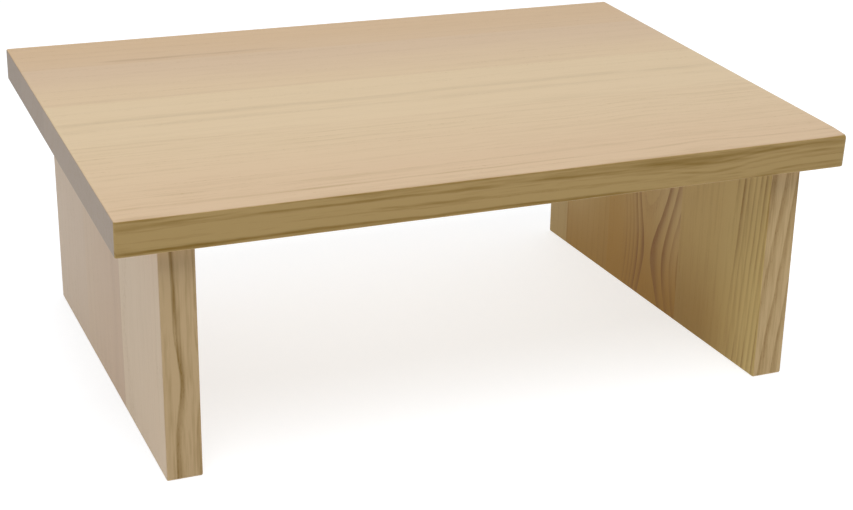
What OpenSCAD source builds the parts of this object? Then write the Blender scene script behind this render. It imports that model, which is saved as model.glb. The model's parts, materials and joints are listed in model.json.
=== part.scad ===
// Raised stand for a computer monitor: a gently sloping wooden top on two upright side legs.
// Each board is glued up from solid staves, and blind fluted dowels join the legs to the top.
// Axes: +X to the right, +Y to the back, +Z up.
// The origin is on the floor, under the middle of the stand.

/* [Top] */
// Width of the top, side to side
top_width = 450; // [360:5:600]
// Depth of the top, front to back along its slope
top_depth = 312; // [270:2:360]
// Slope of the top in degrees, with the back edge higher
slope = 3; // [0:0.5:8]
// Height of the underside at the front edge
front_clearance = 139; // [90:1:200]

/* [Boards] */
// Thickness of every board
board_thickness = 20.5; // [18:0.5:26]
// Radius of the eased edges
edge_r = 0.75; // [0.5:0.25:1.25]
// Radius of the top's corners, seen from above
top_corner_r = 1.5; // [1.5:0.5:10]
// Radius of a leg's corners, seen from the side
leg_corner_r = 1.5; // [1.5:0.25:4]

/* [Legs] */
// How far the top reaches past each leg, sideways
side_overhang = 24.5; // [5:0.5:60]
// How far the top reaches past the legs at the front
front_overhang = 10; // [0:1:15]
// How far the top reaches past the legs at the back
back_overhang = 14; // [0:1:20]

/* [Staves of the top] */
// Width of the back stave
top_back_width = 53; // [30:1:80]
// Width of the stave in front of the back one
top_rear_middle_width = 74; // [40:1:80]
// Width of the stave behind the front one, which takes what is left
top_front_middle_width = 74; // [40:1:80]

/* [Staves of the legs] */
// Width of the left leg's back stave
left_back_width = 91; // [40:1:100]
// Width of the left leg's middle stave, and the front one takes what is left
left_middle_width = 99; // [40:1:100]
// Width of the right leg's narrow stave at the back edge
right_edge_width = 28; // [20:1:40]
// Width of the right leg's back stave
right_back_width = 64; // [30:1:70]
// Width of the right leg's middle stave, and the front one takes what is left
right_middle_width = 97; // [40:1:100]

/* [Dowels] */
// Dowels in each leg
dowel_count = 5; // [3:1:7]
// Diameter of a dowel
dowel_d = 8; // [6:1:8]
// Length of a dowel
dowel_length = 40; // [30:5:50]
// Length of a dowel that stands in the top
top_engagement = 12; // [8:1:14]
// Distance from the leg's end to the middle of the outer dowel
dowel_end_distance = 21; // [15:1:40]

/* [Hidden] */
$fn = 64;

// Dowel details: glue room round a dowel and past its ends, chamfer and flutes.
glue_gap = 0.05;
end_gap = 1;
dowel_chamfer = 0.8;
flute_count = 12;
flute_r = 0.45;

// Room that a cutting block keeps past the board that it trims.
spare = 10;

// Farthest forward and backward reach of the sloping top's rounded edges, from its lower front edge.
front_reach = edge_r * cos(slope) - (board_thickness - edge_r) * sin(slope) - edge_r;
back_reach = (top_depth - edge_r) * cos(slope) - edge_r * sin(slope) + edge_r;

// Y of the top's lower front edge, which centres the whole stand on Y.
front_y = -(front_reach + back_reach) / 2;

leg_front_y = front_y + front_overhang;
leg_back_y = front_y + top_depth * cos(slope) - back_overhang;
leg_depth = leg_back_y - leg_front_y;
leg_x = top_width / 2 - side_overhang - board_thickness / 2;

// Height of the upright board before its upper end is cut to the slope.
leg_blank_height = front_clearance + top_depth * sin(slope) + spare;

// Stave widths, counted from the back.
top_staves = [top_back_width, top_rear_middle_width, top_front_middle_width];
left_staves = [left_back_width, left_middle_width];
right_staves = [right_edge_width, right_back_width, right_middle_width];

dowel_pitch = (leg_depth - 2 * dowel_end_distance) / (dowel_count - 1);

// Colours of the wood.
pink_ash = [0.83, 0.73, 0.62];
yellow_ash = [0.85, 0.77, 0.63];
leg_ash = [0.76, 0.69, 0.58];
shaded_ash = [0.68, 0.58, 0.43];
beech = [0.80, 0.62, 0.44];

// Sum of the first n widths.
function sum_of(widths, n) = n == 0 ? 0 : widths[n - 1] + sum_of(widths, n - 1);

// Distance along the slope from the top's front edge to the middle of dowel i.
function dowel_place(i) = (front_overhang + dowel_end_distance + i * dowel_pitch) / cos(slope);

// Places its children on the underside of the top, with Y up the slope and Z square to it.
module on_slope() {
    translate([0, front_y, front_clearance]) rotate([slope, 0, 0]) children();
}

// Cross-section of a board: a flat rectangle with eased corners.
module board_section(width) {
    translate([edge_r, 0]) square([width - 2 * edge_r, board_thickness]);
    translate([0, edge_r]) square([width, board_thickness - 2 * edge_r]);
    for (x = [edge_r, width - edge_r], y = [edge_r, board_thickness - edge_r]) {
        translate([x, y]) circle(edge_r);
    }
}

// Round corner piece with the board's eased edges.
module corner_puck(r) {
    rotate_extrude() {
        intersection() {
            translate([-r, 0]) board_section(2 * r);
            square([r, board_thickness]);
        }
    }
}

// Flat board with eased edges and corners of radius r, one corner at the origin.
module eased_board(length, width, r) {
    translate([r, 0, 0]) {
        rotate([90, 0, 90]) linear_extrude(length - 2 * r) board_section(width);
    }
    translate([0, width - r, 0]) {
        rotate([90, 0, 0]) linear_extrude(width - 2 * r) board_section(length);
    }
    for (x = [r, length - r], y = [r, width - r]) {
        translate([x, y, 0]) corner_puck(r);
    }
}

// Block that keeps stave i of a board, measured from the board's back edge at Y = back.
// The first and the last stave keep some spare past the board's own edges.
module stave_block(widths, i, back, depth, length, height) {
    is_last = i == len(widths);
    near = i == 0 ? -spare : sum_of(widths, i);
    far = is_last ? depth + spare : sum_of(widths, i + 1);
    translate([-length / 2, back - far, -spare]) cube([length, far - near, height + 2 * spare]);
}

// Blind bores for one leg's dowels, square to the slope, partly in the top and partly in the leg.
module dowel_bores(x) {
    leg_part = dowel_length - top_engagement + end_gap;
    on_slope() {
        for (i = [0:dowel_count - 1]) {
            translate([x, dowel_place(i), -leg_part]) {
                cylinder(r = dowel_d / 2 + glue_gap, h = dowel_length + 2 * end_gap);
            }
        }
    }
}

// Stave i of the top, counted from the back.
module top_stave(i) {
    difference() {
        on_slope() {
            intersection() {
                translate([-top_width / 2, 0, 0]) eased_board(top_width, top_depth, top_corner_r);
                stave_block(top_staves, i, top_depth, top_depth, top_width + 2 * spare, board_thickness);
            }
        }
        for (side = [-1, 1]) {
            dowel_bores(side * leg_x);
        }
    }
}

// Whole upright board of one leg, with its upper end cut to the slope of the top.
module leg_board(x) {
    intersection() {
        translate([x - board_thickness / 2, leg_front_y, 0]) {
            rotate([90, 0, 90]) eased_board(leg_depth, leg_blank_height, leg_corner_r);
        }
        on_slope() {
            translate([x - board_thickness, -spare, -leg_blank_height - spare]) {
                cube([2 * board_thickness, top_depth + 2 * spare, leg_blank_height + spare]);
            }
        }
    }
}

// Stave i of a leg, counted from the back. side is -1 for the left leg and 1 for the right one.
module leg_stave(side, widths, i) {
    difference() {
        intersection() {
            leg_board(side * leg_x);
            stave_block(widths, i, leg_back_y, leg_depth, top_width, leg_blank_height);
        }
        dowel_bores(side * leg_x);
    }
}

// Beech dowel with chamfered ends and straight glue flutes, standing on its end.
module fluted_dowel() {
    r = dowel_d / 2;
    tip_r = r - dowel_chamfer;
    difference() {
        rotate_extrude() {
            polygon([
                [0, 0], [tip_r, 0], [r, dowel_chamfer],
                [r, dowel_length - dowel_chamfer], [tip_r, dowel_length], [0, dowel_length]
            ]);
        }
        for (i = [0:flute_count - 1]) {
            rotate([0, 0, i * 360 / flute_count]) {
                translate([r, 0, -1]) cylinder(r = flute_r, h = dowel_length + 2);
            }
        }
    }
}

// The dowels of one leg, each a separate piece.
module leg_dowels(side) {
    color(beech) {
        on_slope() {
            for (i = [0:dowel_count - 1]) {
                translate([side * leg_x, dowel_place(i), top_engagement - dowel_length]) fluted_dowel();
            }
        }
    }
}

module top_back_stave() { color(pink_ash) top_stave(0); }
module top_rear_middle_stave() { color(pink_ash) top_stave(1); }
module top_front_middle_stave() { color(yellow_ash) top_stave(2); }
module top_front_stave() { color(pink_ash) top_stave(3); }

module left_leg_back_stave() { color(leg_ash) leg_stave(-1, left_staves, 0); }
module left_leg_middle_stave() { color(leg_ash) leg_stave(-1, left_staves, 1); }
module left_leg_front_stave() { color(leg_ash) leg_stave(-1, left_staves, 2); }

module right_leg_edge_stave() { color(shaded_ash) leg_stave(1, right_staves, 0); }
module right_leg_back_stave() { color(shaded_ash) leg_stave(1, right_staves, 1); }
module right_leg_middle_stave() { color(shaded_ash) leg_stave(1, right_staves, 2); }
module right_leg_front_stave() { color(shaded_ash) leg_stave(1, right_staves, 3); }

module left_dowels() { leg_dowels(-1); }
module right_dowels() { leg_dowels(1); }

top_back_stave();
top_rear_middle_stave();
top_front_middle_stave();
top_front_stave();
left_leg_back_stave();
left_leg_middle_stave();
left_leg_front_stave();
right_leg_edge_stave();
right_leg_back_stave();
right_leg_middle_stave();
right_leg_front_stave();
left_dowels();
right_dowels();
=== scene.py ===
"""Looks of a wooden monitor riser stand: ash boards glued up from staves, on a pale studio floor."""

import json
import math

import bmesh
import bpy
from mathutils import Matrix, Vector, noise


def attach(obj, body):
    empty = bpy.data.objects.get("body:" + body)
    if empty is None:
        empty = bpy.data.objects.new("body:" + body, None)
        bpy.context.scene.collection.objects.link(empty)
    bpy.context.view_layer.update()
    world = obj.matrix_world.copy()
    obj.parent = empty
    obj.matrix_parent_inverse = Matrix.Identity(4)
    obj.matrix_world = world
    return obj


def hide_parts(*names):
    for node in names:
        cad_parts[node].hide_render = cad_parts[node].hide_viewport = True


MM = 0.001

# Camera, in the row frame. The heading turns clockwise from +Y, seen from above.
EYE = (-0.39119, -0.95242, 0.45256)
HEADING = 23.092
LOOK_DOWN = 21.101
ROLL = 0.982
LENS = 70.623
SENSOR = 36.0

# Studio. The floor glows, so that it comes out nearly white.
FLOOR_REACH = 6
FLOOR_COLOUR = (0.37, 0.39, 0.42, 1)
FLOOR_ROUGHNESS = 0.9
FLOOR_GLOW = 0.72
WORLD_BRIGHTNESS = 1.13
LIGHT_PLACE = (-0.2, -0.9, 2.2)
LIGHT_TARGET = (0, 0, 0.1)
LIGHT_SIZE = 1.6
LIGHT_POWER = 35
WHITE = (1, 1, 1)
GAMMA = 0.8

# Radii of the boards' eased edges and of their corners. Sanding by hand adds to an edge's radius, as a share
# from zero to twice HAND_EASING, in waves as long as EASING_WAVE that differ between upper and lower edges.
EDGE_R = 0.75 * MM
TOP_CORNER_R = 1.5 * MM
LEG_CORNER_R = 1.5 * MM
HAND_EASING = 0.15
EASING_WAVE = 45 * MM
UPPER_EDGE_NOISE = 3.7

# How finely the eased edges are meshed: length of a step along them, and steps round an edge and a corner.
# Faces that meet at less than SMOOTH_UNDER are shaded as one curve.
EDGE_STEP = 12 * MM
EDGE_LEVELS = 6
CORNER_STEPS = 6
SMOOTH_UNDER = math.radians(32)

# The top's right front corner is sanded rounder than the others: its radius seen from above, how much wider
# its upper edge is eased, and how far along the edge that reaches.
WORN_STAVE = "top_front_stave"
WORN_CORNER_R = 3.0 * MM
WORN_EASING = 1.9 * MM
WORN_REACH = 5 * MM

# How much longer a leg's staves start out, before their upper ends are cut to the slope.
LEG_SPARE = 10 * MM

# Bores for the dowels.
GLUE_GAP = 0.05 * MM
BORE_END_GAP = 1 * MM
BORE_SIDES = 48

# Distances under which two places count as one, when staves are lined up and when points are joined.
SAME_PLACE = 1e-5
WELD = 1e-6

# All that follows about the wood is in mm of the board, with sizes along, across and through it.
# The tree's rings wander slowly and wobble a little.
WANDER = 2.0
WANDER_SIZE = (150, 300, 150)
WOBBLE = 1.0
WOBBLE_SIZE = (30, 9, 9)

# Darkness over a year's growth, as (share of the year, darkness), from the porous wood of spring to the dense
# wood of autumn.
YEAR = [(0.0, 1.0), (0.10, 0.75), (0.28, 0.25), (0.50, 0.06), (0.93, 0.0), (1.0, 0.90)]
WIDE_YEAR = [(0.0, 1.0), (0.16, 0.90), (0.40, 0.40), (0.65, 0.12), (0.93, 0.0), (1.0, 0.90)]
# How much the years' widths differ, and over how many years. Then where the rings fade: the size of the faded
# patches, and the levels of noise between which they fade.
UNEVEN_YEARS = 0.5
UNEVEN_SPAN = 2.3
FADING_SIZE = (90, 30, 30)
FADING_LEVELS = (0.30, 0.65)

# Inside a look's inner distance the rings keep only a share of their strength, and gain the rest at its end.
INNER_SHARE = 0.12
INNER_FADE = 2.0
# How softly a figure stops across the board, and how softly a mark ends along the grain.
WITHIN_FADE = 8.0
FADE_END = 12.0

# Marks are uneven: the size of their breaks, the levels of noise between which they grow, their weakest and
# strongest share, and how much stronger they are on the narrow edges.
BREAK_SIZE = (70, 8, 8)
BREAK_LEVELS = (0.35, 0.65)
BREAK_STRENGTHS = (0.15, 1.4)
EDGE_MARKS = 2.4

# Sizes of the streaks, the fine grain, the fibres and the pores, and how much each darkens the wood.
STREAK_SIZE = (140, 3.5, 3.5)
STREAK_TONE = 0.22
GRAIN_SIZE = (18, 1.1, 1.1)
GRAIN_TONE = 0.14
FIBRE_SIZE = (22, 0.45, 0.45)
FIBRE_TONE = 0.22
PORE_SIZE = (5.0, 0.6, 0.6)
PORE_TONE = 0.25
# How strongly streaks and fine grain show on the narrow edges.
EDGE_GRAIN = 4.5
# Where a pore ends in its cell, and the darkness of the rings over which the pores come in from the fewest.
PORE_RIM = (0.14, 0.30)
PORE_RINGS = (0.05, 0.7)
FEWEST_PORES = 0.10

# The sanded arrises are a little paler, which fades over this depth from the second nearest face.
ARRIS_TONE = 0.06
ARRIS_FADE = (0.3, 1.8)
# Depth below the broad faces at which the colour of the narrow faces comes in.
WALL_FADE = (0.1, 0.5)
# Depth from a board's end less the depth from its edge, where end grain gives way to the narrow edge.
CORNER_FADE = (-1.4, -0.9)
# Colour of end grain, and how strongly the rings show in it.
END_GRAIN = (0.343, 0.270, 0.207)
END_RINGS = 0.16

# Where near gives way to far, the colours are patchy: the patches' size, and how far they push the change.
PATCH_SIZE = (160, 30, 30)
PATCH_REACH = 40.0
# How high above the floor a leg's painted shade reaches, and how far from the leg's front edge it is in full.
PAINTED_SHADE_HEIGHT = 85.0
PAINTED_SHADE_START = 75.0
# Depth through a board over which the colour of its lower face gives way to that of its upper face.
REVERSE_FADE = (6.0, 16.0)

# Satin lacquer: its roughness, and what pores, fibres and the barer arrises and end grain add to it.
ROUGHNESS = 0.40
PORE_ROUGHNESS = 0.18
FIBRE_ROUGHNESS = 0.12
BARE_ROUGHNESS = 0.08
LACQUER_IOR = 1.5
# Relief of the fibres, rings and pores, in depths of a pore. Only this depth is in the script's own units.
FIBRE_RELIEF = 0.35
RING_RELIEF = -0.25
PORE_RELIEF = -1.0
BUMP_STRENGTH = 0.5
PORE_DEPTH = 0.08 * MM

# Each stave is cut from another place in the wood: steps of the noise and of the years from one to the next.
STAVE_STEP = (97.0, 131.0, 61.0)
YEAR_STEP = 17.0

# Wood of each stave. A board's upper face is the top's upper side, or a leg's left side. across runs from the
# board's front edge to its back, and along runs from its left end, or from the floor.
#
# Colours: near and far are those at the stave's front and back side, edge is on the board's narrow edges,
# reverse on its lower face, the foot colour near the floor is painted shade, and deep is the colour of its
# dark rings. end makes the end grain paler (above 1) or darker.
#
# Rings: middle is the tree's centre (across, through), ring is the ring spacing, and shift moves the rings by
# a share of a ring. bend is a wave of the rings along the grain: where its middle is, how wide and how high it
# is. lean is how far the rings drift per mm along the grain, and tight squeezes them on the back side of the
# centre. wide gives each year a wider dark part, and faint is the strength of the faintest years.
#
# Figure: line and edge_line are how strongly the rings show on the broad faces and on the narrow edges, within
# is where across the board they show, and inner is the distance from the tree's centre inside which they
# hardly do. grain is how strongly streaks and fine grain show on the broad faces.
# marks are single darker (or, below zero, paler) rings: place across the board's upper face, strength, width,
# and where they start and end along the grain. edge_marks show on the narrow edges only, and their place is
# the depth below the upper face, on the front edge.
#
# PLAIN is what a wood has where its own look says nothing else.
PLAIN = dict(end=1.0, tight=1.0, lean=0.0, wide=False, faint=0.45, grain=1.0, marks=[], edge_marks=[])
ASH = {
    "top_back_stave": dict(
        slot="ash_pink", near=(0.582, 0.429, 0.271), far=(0.582, 0.420, 0.253), deep=(0.330, 0.200, 0.100),
        edge=(0.470, 0.315, 0.155), end=0.96,
        middle=(480, -95), ring=8.0, shift=0.1, line=0.08, edge_line=0.5,
        marks=[(265, 0.27, 3.5, 55, 172)]),
    "top_rear_middle_stave": dict(
        slot="ash_pink", near=(0.623, 0.482, 0.314), far=(0.585, 0.441, 0.297), deep=(0.340, 0.220, 0.110),
        middle=(420, 160), ring=11.0, shift=0.3, line=0.04, edge_line=0.3,
        marks=[(189, 0.07, 4.0, 0, 450)]),
    "top_front_middle_stave": dict(
        slot="ash_yellow", near=(0.639, 0.507, 0.336), far=(0.639, 0.507, 0.333), deep=(0.350, 0.240, 0.115),
        end=1.06,
        middle=(-60, -120), ring=13.0, shift=0.5, line=0.05, edge_line=0.3,
        marks=[(150, 0.13, 8.0, 0, 450), (138, 0.08, 6.0, 0, 450), (112, 0.10, 8.0, 0, 450)]),
    "top_front_stave": dict(
        slot="ash_pink", near=(0.605, 0.456, 0.303), far=(0.629, 0.494, 0.327), deep=(0.247, 0.142, 0.000),
        edge=(0.465, 0.329, 0.136), end=1.06,
        middle=(150, -95), ring=3.5, shift=0.0, line=0.11, edge_line=0.38,
        bend=(357, 28, 2.2), faint=0.35, grain=1.6,
        edge_marks=[(5.0, 0.44, 1.3, 75, 215), (3.0, 0.32, 1.0, 20, 60), (1.0, 0.30, 0.9, 80, 150),
                    (10.5, 0.50, 1.4, 145, 205), (18.0, 0.50, 1.3, 0, 300), (4.7, 0.40, 1.2, 235, 300),
                    (3.0, 0.32, 1.3, 310, 440), (8.3, 0.32, 1.4, 300, 440), (16.5, 0.40, 1.3, 395, 455)],
        marks=[(0.5, 0.10, 6.0, 0, 450), (14.3, 0.16, 2.0, 0, 450), (11, -0.10, 1.5, 0, 450),
               (26, 0.06, 5.0, 0, 450)]),
    "left_leg_back_stave": dict(
        slot="ash_legs", near=(0.511, 0.382, 0.258), far=(0.517, 0.393, 0.269), deep=(0.290, 0.170, 0.075),
        edge=(0.490, 0.350, 0.180),
        middle=(420, 120), ring=9.0, shift=0.0, line=0.07, edge_line=0.4),
    "left_leg_middle_stave": dict(
        slot="ash_legs", near=(0.498, 0.351, 0.223), far=(0.513, 0.376, 0.243), deep=(0.290, 0.170, 0.085),
        middle=(320, 150), ring=9.0, shift=0.4, line=0.07, edge_line=0.4,
        marks=[(117, 0.10, 14, 0, 160)]),
    "left_leg_front_stave": dict(
        slot="ash_legs", near=(0.575, 0.440, 0.295), far=(0.575, 0.445, 0.300), deep=(0.235, 0.129, 0.000),
        edge=(0.564, 0.420, 0.241),
        middle=(20, 240), ring=12.2, shift=0.41, line=0.05, edge_line=0.78, bend=(59, 22, -3.2),
        edge_marks=[(7.4, 0.52, 1.8, 95, 180), (18.0, 0.35, 1.2, 0, 90)]),
    # The right leg's inner side is darker and browner: painted shade and warm bounce light; reverse is its own
    # colour.
    "right_leg_edge_stave": dict(
        slot="ash_legs", near=(0.443, 0.334, 0.146), far=(0.438, 0.331, 0.150), deep=(0.250, 0.130, 0.0),
        edge=(0.490, 0.350, 0.180), foot_shade=(0.418, 0.290, 0.102), reverse=(0.490, 0.370, 0.240),
        middle=(330, 90), ring=7.0, shift=0.2, line=0.12, edge_line=0.4),
    "right_leg_back_stave": dict(
        slot="ash_legs", near=(0.432, 0.284, 0.070), far=(0.510, 0.387, 0.173), deep=(0.250, 0.120, 0.0),
        foot_shade=(0.362, 0.208, 0.024), reverse=(0.500, 0.378, 0.245),
        middle=(360, 60), ring=8.0, shift=0.6, line=0.22, edge_line=0.4,
        marks=[(258, 0.25, 1.2, 0, 160)]),
    "right_leg_middle_stave": dict(
        slot="ash_legs", near=(0.500, 0.366, 0.158), far=(0.422, 0.264, 0.052), deep=(0.233, 0.095, 0.0),
        foot_shade=(0.365, 0.200, 0.012), reverse=(0.510, 0.380, 0.235),
        middle=(141, 0), ring=8.0, shift=0.05, line=1.25, edge_line=0.4, bend=(35, 52, 18.5),
        tight=1.8, within=(90, 168), inner=39.3, wide=True),
    "right_leg_front_stave": dict(
        slot="ash_legs", near=(0.546, 0.422, 0.172), far=(0.482, 0.347, 0.124), deep=(0.250, 0.125, 0.000),
        edge=(0.582, 0.434, 0.235), foot_shade=(0.360, 0.222, 0.044), reverse=(0.530, 0.405, 0.255),
        middle=(65, 51), ring=4.7, shift=0.55, line=0.82, edge_line=0.58, lean=-0.07,
        within=(-20, 34), grain=2.8, wide=True),
}
BEECH = dict(
    slot="beech_dowels", near=(0.540, 0.340, 0.190), far=(0.540, 0.330, 0.180), deep=(0.330, 0.170, 0.080),
    middle=(150, 60), ring=3.0, shift=0.0, line=0.2, edge_line=0.2)


# ---------------------------------------------------------------- boards


class Board:
    """A board's own axes: along its grain, across it and through its thickness, from one corner."""

    def __init__(self, along, across, through, staves):
        self.axes = Matrix((along, across, through))
        self.staves = staves
        boxes = [self.extent(node) for node in staves]
        low = [min(box[0][i] for box in boxes) for i in range(3)]
        high = [max(box[1][i] for box in boxes) for i in range(3)]
        self.origin = self.axes.inverted() @ Vector(low)
        self.size = Vector(high) - Vector(low)

    def extent(self, node):
        """Lowest and highest corner of a CAD node along the board's axes, from the row frame's origin."""
        points = [self.axes @ v.co for v in frame["nodes"][node].data.vertices]
        low = Vector(min(p[i] for p in points) for i in range(3))
        high = Vector(max(p[i] for p in points) for i in range(3))
        return low, high

    def matrix(self):
        """Takes a point in the board's axes to the row frame."""
        return Matrix.Translation(self.origin) @ self.axes.inverted().to_4x4()

    def span(self, node):
        """A stave's lowest and highest corner in the board's axes."""
        shift = self.axes @ self.origin
        low, high = self.extent(node)
        return low - shift, high - shift


def easing(point, upper, worn):
    """Radius of an eased edge at a point of the board. worn is the corner that is sanded rounder, or None."""
    where = Vector((point.x, point.y, 0.0)) / EASING_WAVE
    where.z = UPPER_EDGE_NOISE if upper else 0.0
    radius = EDGE_R * (1 + HAND_EASING * (1 + noise.noise(where)))
    if worn and upper:
        radius += WORN_EASING * math.exp(-((point - worn).length / WORN_REACH) ** 2)
    return radius


def outline(low, high, free, radii):
    """A stave's outline as (point, outward direction, whether the stretch after it is eased).

    free says which sides are eased, in turn: low across, high along, high across, low along.
    radii are those of the corners where the sides start.
    """
    corners = [Vector(c) for c in ((low.x, low.y), (high.x, low.y), (high.x, high.y), (low.x, high.y))]
    normals = [Vector(n) for n in ((0, -1), (1, 0), (0, 1), (-1, 0))]
    loop = []
    for side in range(4):
        start, end = corners[side], corners[(side + 1) % 4]
        normal, next_normal = normals[side], normals[(side + 1) % 4]
        before, after = free[side - 1], free[(side + 1) % 4]
        start_r, end_r = radii[side], radii[(side + 1) % 4]
        if free[side]:
            way = (end - start).normalized()
            first = start + way * (start_r if before else 0)
            last = end - way * (end_r if after else 0)
            steps = max(1, round((last - first).length / EDGE_STEP))
            loop += [(first.lerp(last, i / steps), normal, True) for i in range(steps)]
            loop.append((last, normal, after))
            for i in range(1, CORNER_STEPS if after else 0):
                angle = math.pi / 2 * i / CORNER_STEPS
                out = normal * math.cos(angle) + next_normal * math.sin(angle)
                loop.append((last - normal * end_r + out * end_r, out, True))
        elif not before:
            loop.append((start, Vector((0, 0)), False))
    return loop


def eased_column(bm, point, out, low, high, worn):
    """Points up a stave's side, from its lower face round the two eased edges to its upper face."""
    quarter = [math.pi / 2 * i / EDGE_LEVELS for i in range(EDGE_LEVELS + 1)]
    column = []
    for angle, upper in [(a, False) for a in reversed(quarter)] + [(a, True) for a in quarter]:
        r = easing(point, upper, worn)
        place = point - out * r * (1 - math.cos(angle))
        dip = r * (1 - math.sin(angle))
        column.append(bm.verts.new((place.x, place.y, high.z - dip if upper else low.z + dip)))
    return column


def stave_mesh(low, high, free, corner_r, is_worn):
    """A stave as a closed bmesh in the board's axes: eased on its free sides, square on its glued ones."""
    bm = bmesh.new()
    worn = Vector((high.x, low.y)) if is_worn else None
    radii = [corner_r, WORN_CORNER_R if is_worn else corner_r, corner_r, corner_r]
    points = outline(low, high, free, radii)
    columns = [eased_column(bm, point, out, low, high, worn) for point, out, _ in points]
    for i, (_, _, is_free) in enumerate(points):
        here, there = columns[i], columns[(i + 1) % len(columns)]
        if is_free:
            for k in range(len(here) - 1):
                bm.faces.new((here[k], there[k], there[k + 1], here[k + 1]))
        else:
            bm.faces.new(there + here[::-1])
    bm.faces.new([column[0] for column in reversed(columns)])
    bm.faces.new([column[-1] for column in columns])
    bmesh.ops.recalc_face_normals(bm, faces=bm.faces)
    return bm


def trim(bm, point, normal):
    """Cuts away what lies past a plane and closes the cut."""
    geometry = bm.verts[:] + bm.edges[:] + bm.faces[:]
    cut = bmesh.ops.bisect_plane(bm, geom=geometry, plane_co=point, plane_no=normal, clear_outer=True)
    edges = [e for e in cut["geom_cut"] if isinstance(e, bmesh.types.BMEdge)]
    bmesh.ops.contextual_create(bm, geom=edges)


def add_object(name, bm):
    """A new object of the scene from a bmesh."""
    mesh = bpy.data.meshes.new(name)
    bm.to_mesh(mesh)
    bm.free()
    piece = bpy.data.objects.new(name, mesh)
    bpy.context.scene.collection.objects.link(piece)
    return piece


def loose_parts(mesh):
    """The separate solids of a mesh, each as a list of its points."""
    bm = bmesh.new()
    bm.from_mesh(mesh)
    left = set(bm.verts)
    parts = []
    while left:
        part = []
        rim = [left.pop()]
        while rim:
            vert = rim.pop()
            part.append(vert.co.copy())
            near = {e.other_vert(vert) for e in vert.link_edges} & left
            left -= near
            rim += near
        parts.append(part)
    bm.free()
    return parts


def welded(mesh):
    """A copy of a mesh with the points that share a place joined."""
    bm = bmesh.new()
    bm.from_mesh(mesh)
    bmesh.ops.remove_doubles(bm, verts=bm.verts, dist=WELD)
    copy = bpy.data.meshes.new("welded")
    bm.to_mesh(copy)
    bm.free()
    return copy


def bore_cutter(node, board):
    """Cylinders a little larger than the node's dowels, square to the board's face."""
    bm = bmesh.new()
    for part in loose_parts(welded(frame["nodes"][node].data)):
        points = [board.axes @ p for p in part]
        low = Vector(min(p[i] for p in points) for i in range(3))
        high = Vector(max(p[i] for p in points) for i in range(3))
        radius = (high.x - low.x) / 2 + GLUE_GAP
        depth = high.z - low.z + 2 * BORE_END_GAP
        turn = board.axes.inverted()
        place = Matrix.Translation(turn @ ((low + high) / 2)) @ turn.to_4x4()
        bmesh.ops.create_cone(bm, cap_ends=True, segments=BORE_SIDES, radius1=radius, radius2=radius,
                              depth=depth, matrix=place)
    return add_object(node + "_cutter", bm)


def drill(piece, cutter):
    """Takes the cutter's cylinders out of a piece."""
    cut = piece.modifiers.new("bores", "BOOLEAN")
    cut.operation = "DIFFERENCE"
    cut.solver = "EXACT"
    cut.object = cutter
    whole = piece.evaluated_get(bpy.context.evaluated_depsgraph_get())
    mesh = bpy.data.meshes.new_from_object(whole)
    piece.modifiers.clear()
    piece.data = mesh


def shade(piece):
    """Keeps flat faces flat, and the eased edges between them smooth."""
    piece.data.shade_smooth()
    piece.data.set_sharp_from_angle(angle=SMOOTH_UNDER)
    normals = piece.modifiers.new("normals", "WEIGHTED_NORMAL")
    normals.keep_sharp = True


# ---------------------------------------------------------------- materials


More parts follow.
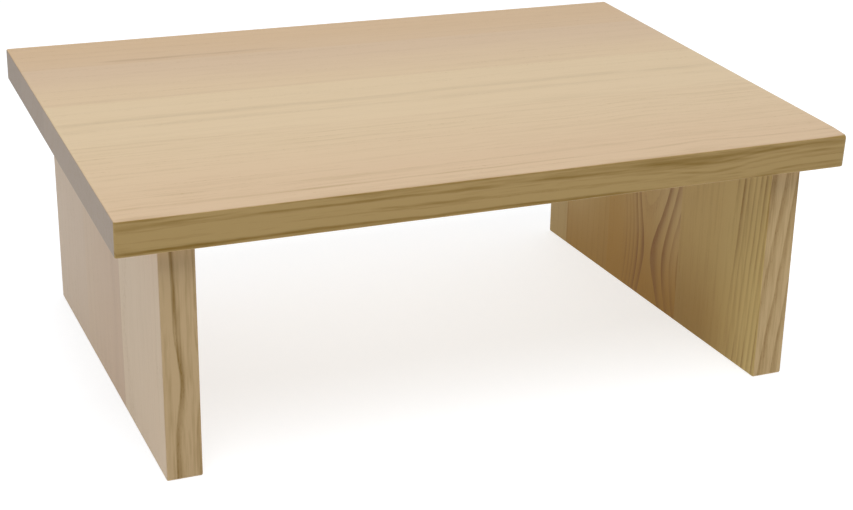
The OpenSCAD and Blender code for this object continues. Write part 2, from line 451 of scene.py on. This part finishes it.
class Graph:
    """Adds shader nodes to a tree, and links or sets whatever is given as an input."""

    def __init__(self, tree):
        self.tree = tree

    def add(self, kind, inputs=None, **settings):
        node = self.tree.nodes.new("ShaderNode" + kind)
        for name, value in settings.items():
            setattr(node, name, value)
        for name, value in (inputs or {}).items():
            self.feed(node.inputs[name], value)
        return node

    def feed(self, socket, value):
        if isinstance(value, bpy.types.NodeSocket):
            self.tree.links.new(value, socket)
        else:
            socket.default_value = value

    def math(self, operation, *values, clamp=False):
        node = self.add("Math", operation=operation, use_clamp=clamp)
        for socket, value in zip(node.inputs, values):
            self.feed(socket, value)
        return node.outputs["Value"]

    def vector(self, operation, *values):
        node = self.add("VectorMath", operation=operation)
        for socket, value in zip(node.inputs, values):
            self.feed(socket, value)
        return node.outputs["Vector"]

    def scaled(self, vector, factor):
        node = self.add("VectorMath", operation="SCALE")
        self.feed(node.inputs[0], vector)
        self.feed(node.inputs["Scale"], factor)
        return node.outputs["Vector"]

    def parts(self, vector):
        """The three parts of a vector."""
        return list(self.add("SeparateXYZ", {"Vector": vector}).outputs)

    def centred(self, value):
        """A value from 0 to 1, moved to lie about zero."""
        return self.math("SUBTRACT", value, 0.5)

    def noise(self, vector, size, detail=2.0, output=0):
        """Noise whose grains measure size = (along, across, through), in mm."""
        stretched = self.vector("DIVIDE", vector, size)
        node = self.add("TexNoise", {"Vector": stretched, "Scale": 1.0, "Detail": detail})
        return node.outputs[output]

    def noise_line(self, value, size):
        """Noise along one value, whose waves measure size."""
        scaled = self.math("DIVIDE", value, size)
        node = self.add("TexNoise", {"W": scaled, "Scale": 1.0, "Detail": 1.0}, noise_dimensions="1D")
        return node.outputs[0]

    def ramp(self, value, low, high, from_value=0.0, to_value=1.0):
        """A soft step from one value to another, while the input goes from low to high."""
        node = self.add("MapRange", {"Value": value, "From Min": low, "From Max": high,
                                     "To Min": from_value, "To Max": to_value},
                        interpolation_type="SMOOTHSTEP")
        return node.outputs["Result"]

    def window(self, tone, value, low, high, fade):
        """A tone that shows only where a value is from low to high, with soft ends."""
        tone = self.math("MULTIPLY", tone, self.ramp(value, low - fade, low + fade))
        return self.math("MULTIPLY", tone, self.ramp(value, high - fade, high + fade, 1.0, 0.0))

    def curve(self, value, stops):
        """The level that a list of (place, level) gives at a value from 0 to 1."""
        node = self.add("ValToRGB", {"Fac": value})
        ramp = node.color_ramp
        while len(ramp.elements) < len(stops):
            ramp.elements.new(0.5)
        for element, (place, level) in zip(ramp.elements, stops):
            element.position = place
            element.color = (level, level, level, 1)
        return node.outputs["Color"]

    def blend(self, factor, first, second):
        """A mix of two colours, given as sockets or as (red, green, blue)."""
        node = self.add("Mix", data_type="RGBA")
        factor_input, first_input, second_input = [node.inputs[i] for i in (0, 6, 7)]
        self.feed(factor_input, factor)
        for socket, colour in ((first_input, first), (second_input, second)):
            self.feed(socket, colour if isinstance(colour, bpy.types.NodeSocket) else (*colour, 1))
        return node.outputs[2]


class Wood:
    """The figure of a stave's wood, worked out by shader nodes in its board's own axes, in mm."""

    def __init__(self, g, board, look, seed):
        self.g = g
        self.look = look
        self.seed = seed
        self.size = [side / MM for side in board.size]
        to_row = board.matrix()
        self.position = g.add("Mapping", {"Vector": g.add("TexCoord").outputs["Object"],
                                          "Location": to_row.translation,
                                          "Rotation": to_row.to_euler(),
                                          "Scale": (MM, MM, MM)}, vector_type="TEXTURE").outputs["Vector"]
        self.place = g.vector("ADD", self.position, [step * seed for step in STAVE_STEP])
        self.along, self.across, self.through = g.parts(self.position)
        self.arris, self.end_grain, self.edge = self.masks()
        self.distance = self.ring_distance()
        self.rings = self.ring_tone()
        self.fibre = g.noise(self.place, FIBRE_SIZE)
        self.pore = self.pores()

    def masks(self):
        """Where the board's arrises are, where its end grain shows, and where its narrow edges are."""
        g = self.g
        half = [side / 2 for side in self.size]
        inside = g.vector("SUBTRACT", half, g.vector("ABSOLUTE", g.vector("SUBTRACT", self.position, half)))
        from_end, from_edge, from_face = g.parts(inside)
        low = g.math("MINIMUM", from_end, from_edge)
        high = g.math("MAXIMUM", from_end, from_edge)
        second_nearest = g.math("MAXIMUM", low, g.math("MINIMUM", high, from_face))
        arris = g.ramp(second_nearest, *ARRIS_FADE, 1.0, 0.0)
        wall = g.ramp(from_face, *WALL_FADE)
        is_edge = g.ramp(g.math("SUBTRACT", from_end, from_edge), *CORNER_FADE)
        edge = g.math("MULTIPLY", wall, is_edge)
        end_grain = g.math("MULTIPLY", wall, g.math("SUBTRACT", 1.0, is_edge))
        return arris, end_grain, edge

    def ring_distance(self):
        """Distance from the middle of the tree, with the wander, the bend and the lean of real rings."""
        g, look = self.g, self.look
        slow = g.noise(self.place, WANDER_SIZE, detail=1.0, output="Color")
        slow = g.scaled(g.vector("SUBTRACT", slow, (0.5, 0.5, 0.5)), 2 * WANDER)
        offset = g.vector("ADD", g.vector("SUBTRACT", self.position, (0, *look["middle"])), slow)
        _, across, through = g.parts(offset)
        across = g.math("MAXIMUM", across, g.math("MULTIPLY", across, look["tight"]))
        squares = g.math("ADD", g.math("POWER", across, 2.0), g.math("POWER", through, 2.0))
        wobble = g.centred(g.noise(self.place, WOBBLE_SIZE))
        distance = g.math("MULTIPLY_ADD", wobble, WOBBLE, g.math("SQRT", squares))
        distance = g.math("MULTIPLY_ADD", self.along, look["lean"], distance)
        if "bend" not in look:
            return distance
        middle, width, height = look["bend"]
        reach = g.math("POWER", g.math("DIVIDE", g.math("SUBTRACT", self.along, middle), width), 2.0)
        wave = g.math("EXPONENT", g.math("MULTIPLY", reach, -1.0))
        return g.math("MULTIPLY_ADD", wave, height, distance)

    def ring_tone(self):
        """How dark the growth rings are."""
        g, look = self.g, self.look
        start = YEAR_STEP * self.seed
        years = g.math("ADD", g.math("DIVIDE", self.distance, look["ring"]), look["shift"])
        uneven = g.centred(g.noise_line(g.math("ADD", years, start), UNEVEN_SPAN))
        years = g.math("MULTIPLY_ADD", uneven, UNEVEN_YEARS, years)
        whole_year = g.math("ADD", g.math("FLOOR", years), start)
        chance = g.add("TexWhiteNoise", {"W": whole_year}, noise_dimensions="1D").outputs["Value"]
        dark = g.curve(g.math("FRACT", years), WIDE_YEAR if look["wide"] else YEAR)
        dark = g.math("MULTIPLY", dark, g.ramp(chance, 0.0, 1.0, look["faint"], 1.0))
        fading = g.noise(self.place, FADING_SIZE, detail=1.0)
        return g.math("MULTIPLY", dark, g.ramp(fading, *FADING_LEVELS, look["faint"], 1.0))

    def pores(self):
        """The small dark dashes of the pores, most of them in the dark rings."""
        g = self.g
        cells = g.add("TexVoronoi", {"Vector": g.vector("DIVIDE", self.place, PORE_SIZE), "Scale": 1.0})
        pore = g.ramp(cells.outputs["Distance"], *PORE_RIM, 1.0, 0.0)
        return g.math("MULTIPLY", pore, g.ramp(self.rings, *PORE_RINGS, FEWEST_PORES, 1.0))

    def line(self):
        """How strongly the growth rings show."""
        g, look = self.g, self.look
        line = g.ramp(self.edge, 0.0, 1.0, look["line"], look["edge_line"])
        if "within" in look:
            line = g.window(line, self.across, *look["within"], WITHIN_FADE)
        if "inner" in look:
            share = g.ramp(self.distance, look["inner"] - INNER_FADE, look["inner"], INNER_SHARE, 1.0)
            line = g.math("MULTIPLY", line, share)
        return g.math("MAXIMUM", line, g.math("MULTIPLY", self.end_grain, END_RINGS))

    def mark_tone(self, mark, on_edge=False):
        """A single ring that stands out, where it meets the upper face or, on_edge, the front edge."""
        g = self.g
        place, strength, width, start, end = mark
        thickness = self.size[2]
        across, through = (0.0, thickness - place) if on_edge else (place, thickness)
        middle_across, middle_through = self.look["middle"]
        radius = math.hypot(across - middle_across, through - middle_through)
        slant = abs(through - middle_through if on_edge else across - middle_across) / radius
        off = g.math("ABSOLUTE", g.math("SUBTRACT", self.distance, radius))
        tone = g.window(g.ramp(off, 0.0, width * slant, 1.0, 0.0), self.along, start, end, FADE_END)
        return g.math("MULTIPLY", tone, strength)

    def add_marks(self, tone):
        """Adds the single rings to a tone."""
        g = self.g
        broken = g.ramp(g.noise(self.place, BREAK_SIZE, detail=1.0), *BREAK_LEVELS, *BREAK_STRENGTHS)
        broken = g.math("MULTIPLY", broken, g.ramp(self.edge, 0.0, 1.0, 1.0, EDGE_MARKS))
        for mark in self.look["marks"]:
            tone = g.math("MULTIPLY_ADD", self.mark_tone(mark), broken, tone)
        for mark in self.look["edge_marks"]:
            tone = g.math("MULTIPLY_ADD", self.mark_tone(mark, on_edge=True), self.edge, tone)
        return tone

    def add_grain(self, tone):
        """Adds the streaks, the fine grain, the fibres, the pores and the paler arrises to a tone."""
        g = self.g
        streak = g.centred(g.noise(self.place, STREAK_SIZE))
        grain = g.centred(g.noise(self.place, GRAIN_SIZE))
        texture = g.math("MULTIPLY_ADD", grain, GRAIN_TONE, g.math("MULTIPLY", streak, STREAK_TONE))
        contrast = g.ramp(self.edge, 0.0, 1.0, self.look["grain"], EDGE_GRAIN)
        tone = g.math("MULTIPLY_ADD", texture, contrast, tone)
        tone = g.math("MULTIPLY_ADD", g.centred(self.fibre), FIBRE_TONE, tone)
        tone = g.math("MULTIPLY_ADD", self.pore, PORE_TONE, tone)
        return g.math("MULTIPLY_ADD", self.arris, -ARRIS_TONE, tone)

    def base(self):
        """Colour of the wood between its dark rings."""
        g, look = self.g, self.look
        low, high = [side / MM for side in look["span"]]
        patch = g.centred(g.noise(self.place, PATCH_SIZE, detail=1.0))
        toward_back = g.ramp(g.math("MULTIPLY_ADD", patch, PATCH_REACH, self.across), low, high)
        base = g.blend(toward_back, look["near"], look["far"])
        # Painted shade: darker toward the floor and away from the leg's front edge, as under the stand.
        if "foot_shade" in look:
            painted_shade = g.ramp(self.along, 0.0, PAINTED_SHADE_HEIGHT, 1.0, 0.0)
            painted_shade = g.math("MULTIPLY", painted_shade, g.ramp(self.across, 0.0, PAINTED_SHADE_START))
            base = g.blend(painted_shade, base, look["foot_shade"])
        if "reverse" in look:
            base = g.blend(g.ramp(self.through, *REVERSE_FADE, 1.0, 0.0), base, look["reverse"])
        if "edge" in look:
            base = g.blend(self.edge, base, look["edge"])
        return g.blend(self.end_grain, base, [level * look["end"] for level in END_GRAIN])

    def colour(self):
        """Colour of the wood, which its figure takes from the base toward that of the dark rings."""
        g = self.g
        tone = self.add_grain(self.add_marks(g.math("MULTIPLY", self.rings, self.line())))
        return g.blend(g.math("ADD", tone, 0.0, clamp=True), self.base(), self.look["deep"])

    def roughness(self):
        """Roughness of the lacquer, which sinks into pores and end grain."""
        g = self.g
        rough = g.math("MULTIPLY_ADD", self.pore, PORE_ROUGHNESS, ROUGHNESS)
        rough = g.math("MULTIPLY_ADD", g.centred(self.fibre), FIBRE_ROUGHNESS, rough)
        return g.math("MULTIPLY_ADD", g.math("MAXIMUM", self.arris, self.end_grain), BARE_ROUGHNESS, rough)

    def normal(self):
        """The surface's direction, with the relief of fibres, pores and rings."""
        g = self.g
        height = g.math("MULTIPLY_ADD", self.fibre, FIBRE_RELIEF, g.math("MULTIPLY", self.pore, PORE_RELIEF))
        height = g.math("MULTIPLY_ADD", self.rings, RING_RELIEF, height)
        bump = g.add("Bump", {"Strength": BUMP_STRENGTH, "Distance": PORE_DEPTH, "Height": height})
        return bump.outputs["Normal"]


def wood_material(name, board, look, seed):
    """Satin lacquered wood of one stave, or of a set of dowels. seed sets where in the wood it's cut."""
    material = bpy.data.materials.new(name)
    material.use_nodes = True
    material.node_tree.nodes.clear()
    g = Graph(material.node_tree)
    wood = Wood(g, board, dict(PLAIN, **look), seed)
    shader = g.add("BsdfPrincipled", {"Base Color": wood.colour(), "Roughness": wood.roughness(),
                                      "Normal": wood.normal(), "IOR": LACQUER_IOR})
    g.add("OutputMaterial", {"Surface": shader.outputs["BSDF"]})
    return material


def dress(piece, material):
    """Gives a piece one material."""
    piece.data.materials.clear()
    piece.data.materials.append(material)


# ---------------------------------------------------------------- studio


def add_floor():
    """Pale glowing floor, wide enough to fill the view."""
    bm = bmesh.new()
    bmesh.ops.create_grid(bm, x_segments=1, y_segments=1, size=FLOOR_REACH)
    floor = add_object("floor", bm)
    material = bpy.data.materials.new("pale_floor")
    material.use_nodes = True
    shader = material.node_tree.nodes["Principled BSDF"].inputs
    shader["Base Color"].default_value = FLOOR_COLOUR
    shader["Roughness"].default_value = FLOOR_ROUGHNESS
    shader["Emission Color"].default_value = (*WHITE, 1)
    shader["Emission Strength"].default_value = FLOOR_GLOW
    dress(floor, material)


def add_softbox():
    """Square soft light above and in front of the stand."""
    lamp = bpy.data.lights.new("softbox", "AREA")
    lamp.shape = "SQUARE"
    lamp.size = LIGHT_SIZE
    lamp.energy = LIGHT_POWER
    lamp.color = WHITE
    light = bpy.data.objects.new("softbox", lamp)
    light.location = LIGHT_PLACE
    way = Vector(LIGHT_TARGET) - Vector(LIGHT_PLACE)
    light.rotation_euler = way.to_track_quat("-Z", "Y").to_euler()
    bpy.context.scene.collection.objects.link(light)


def add_world():
    """White surroundings, brightest behind the stand and dark behind the camera."""
    world = bpy.data.worlds.new("studio")
    world.use_nodes = True
    g = Graph(world.node_tree)
    direction = g.add("TexCoord").outputs["Generated"]
    _, toward_back, _ = g.parts(direction)
    level = g.math("MULTIPLY_ADD", toward_back, WORLD_BRIGHTNESS / 2, WORLD_BRIGHTNESS / 2)
    background = world.node_tree.nodes["Background"].inputs
    g.feed(background["Strength"], level)
    g.feed(background["Color"], (*WHITE, 1))
    bpy.context.scene.world = world


def add_camera():
    """Camera in front of the stand and a little to its left, looking down on it, with a slight roll."""
    data = bpy.data.cameras.new("camera")
    data.lens = LENS
    data.sensor_width = SENSOR
    camera = bpy.data.objects.new("camera", data)
    turn = Matrix.Rotation(math.radians(-HEADING), 4, "Z")
    tip = Matrix.Rotation(math.radians(90 - LOOK_DOWN), 4, "X")
    roll = Matrix.Rotation(math.radians(ROLL), 4, "Z")
    camera.matrix_world = Matrix.Translation(EYE) @ turn @ tip @ roll
    bpy.context.scene.collection.objects.link(camera)
    bpy.context.scene.camera = camera


# ---------------------------------------------------------------- build

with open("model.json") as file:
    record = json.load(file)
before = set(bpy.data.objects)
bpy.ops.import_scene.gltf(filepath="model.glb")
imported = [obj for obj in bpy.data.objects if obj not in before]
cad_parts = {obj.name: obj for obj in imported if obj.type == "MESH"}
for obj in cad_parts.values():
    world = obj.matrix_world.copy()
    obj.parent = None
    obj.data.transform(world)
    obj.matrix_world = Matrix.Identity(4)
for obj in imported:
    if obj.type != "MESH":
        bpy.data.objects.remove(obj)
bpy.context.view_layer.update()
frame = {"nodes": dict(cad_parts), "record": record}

mounts = {mount["name"]: mount for mount in frame["record"]["mounts"]}
slope_normal = Vector(mounts["top_face"]["axis"]).normalized()
slope_across = slope_normal.cross(Vector((1, 0, 0)))

TOP_NODES = [n for n in ASH if n.startswith("top_")]
LEG_NODES = {side: [n for n in ASH if n.startswith(side)] for side in ("left", "right")}

top = Board((1, 0, 0), slope_across, slope_normal, TOP_NODES)
legs = {side: Board((0, 0, 1), (0, 1, 0), (-1, 0, 0), nodes) for side, nodes in LEG_NODES.items()}

cutters = {side: bore_cutter(side + "_dowels", top) for side in legs}


def build_stave(node, board, corner_r, cutting, underside=None):
    """The Blender piece that stands for one stave. A leg's one ends at a point of the top's underside."""
    low, high = board.span(node)
    is_leg = underside is not None
    if is_leg:
        high.x += LEG_SPARE
    is_front = abs(low.y) < SAME_PLACE
    is_back = abs(high.y - board.size.y) < SAME_PLACE
    bm = stave_mesh(low, high, [is_front, not is_leg, is_back, True], corner_r, node == WORN_STAVE)
    bm.transform(board.matrix())
    if is_leg:
        trim(bm, underside, slope_normal)
    piece = add_object(node + "_wood", bm)
    for cutter in cutting:
        drill(piece, cutter)
    shade(piece)
    look = dict(ASH[node], span=(low.y, high.y))
    dress(piece, wood_material(node + "_ash", board, look, list(ASH).index(node) + 1))
    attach(piece, "root")
    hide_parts(node)


def dress_dowels(side, board):
    """Gives a leg's dowels their wood. They keep their CAD mesh."""
    dowels = side + "_dowels"
    look = dict(BEECH, span=(0, board.size.y))
    dress(frame["nodes"][dowels], wood_material(side + "_beech", board, look, len(ASH) + 1))


for node in TOP_NODES:
    build_stave(node, top, TOP_CORNER_R, cutters.values())
underside = Vector(mounts["top_face"]["pos_m"]) - slope_normal * top.size.z
for side, board in legs.items():
    for node in LEG_NODES[side]:
        build_stave(node, board, LEG_CORNER_R, [cutters[side]], underside)
for cutter in cutters.values():
    bpy.data.objects.remove(cutter)
for side, board in legs.items():
    dress_dowels(side, board)

add_camera()
add_floor()
add_world()
add_softbox()
bpy.context.scene.view_settings.view_transform = "Standard"
bpy.context.scene.view_settings.gamma = GAMMA
